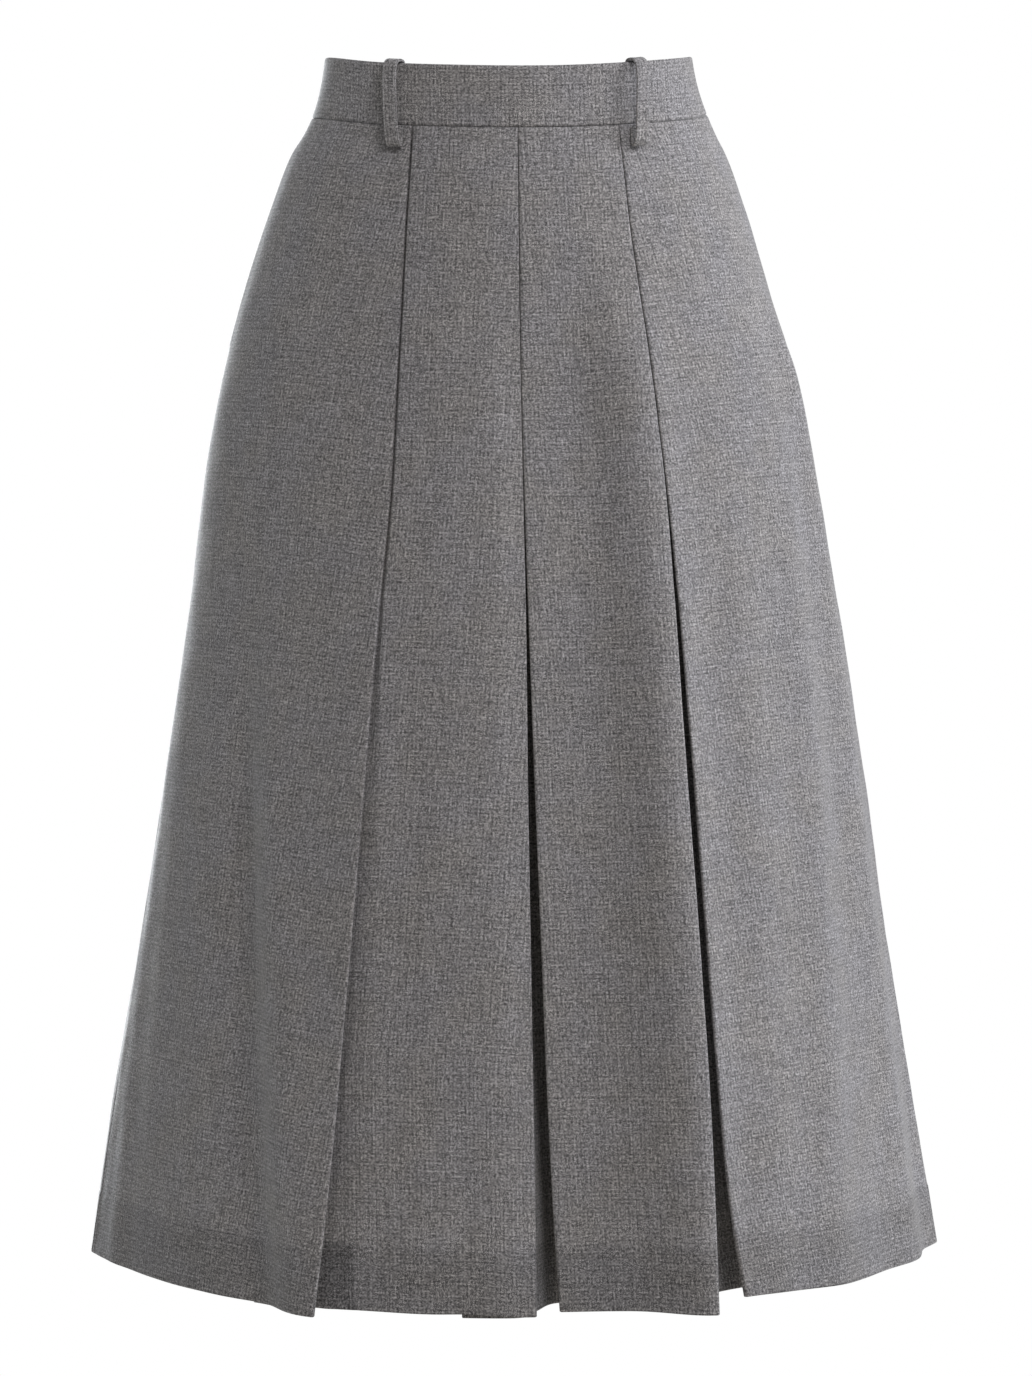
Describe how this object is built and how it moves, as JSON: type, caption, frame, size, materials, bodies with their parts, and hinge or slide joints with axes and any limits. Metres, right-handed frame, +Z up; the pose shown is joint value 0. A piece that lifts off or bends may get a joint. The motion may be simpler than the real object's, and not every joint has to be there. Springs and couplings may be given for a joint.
{
  "type": "pleated midi skirt",
  "caption": "Flared midi skirt with pressed front pleats that open below the hip, a shaped waistband with belt loops and a zip at the back, hollow and open at waist and hem.",
  "frame": {"origin": "middle of the waist, half way up the waistband", "axes": "+Z up out of the waist, -Y out of the front, +X towards the wearer's left"},
  "size_m": [0.5749, 0.4315, 0.8044],
  "materials": {
    "wool_cloth": "matte plain-weave wool suiting, mottled mid grey",
    "pocketing": "smooth dark grey twill pocketing",
    "zip_tape": "matte woven tape, dark grey",
    "dark_nickel": "satin dark nickel"
  },
  "bodies": {
    "skirt": {"front_side_right": "wool_cloth", "front_centre_right": "wool_cloth", "front_centre_left": "wool_cloth", "front_side_left": "wool_cloth", "pleat_underlay_right": "wool_cloth", "pleat_underlay_centre": "wool_cloth", "pleat_underlay_left": "wool_cloth", "back_left": "wool_cloth", "back_right": "wool_cloth", "waistband_front": "wool_cloth", "waistband_back_left": "wool_cloth", "waistband_back_right": "wool_cloth", "belt_loop_front_right": "wool_cloth", "belt_loop_front_left": "wool_cloth", "belt_loop_back_right": "wool_cloth", "belt_loop_back_left": "wool_cloth", "pocket_bag_right": "pocketing", "pocket_bag_left": "pocketing", "zip_tape": "zip_tape", "zip_slider": "dark_nickel"},
    "zip_pull": {"zip_pull": "dark_nickel"}
  },
  "joints": [
    {"name": "zip_pull_swing", "type": "hinge", "parent": "skirt", "child": "zip_pull", "pos_m": [0, 0.09882, 0.00979], "axis": [1, 0, 0], "range_deg": [0, 150]}
  ]
}
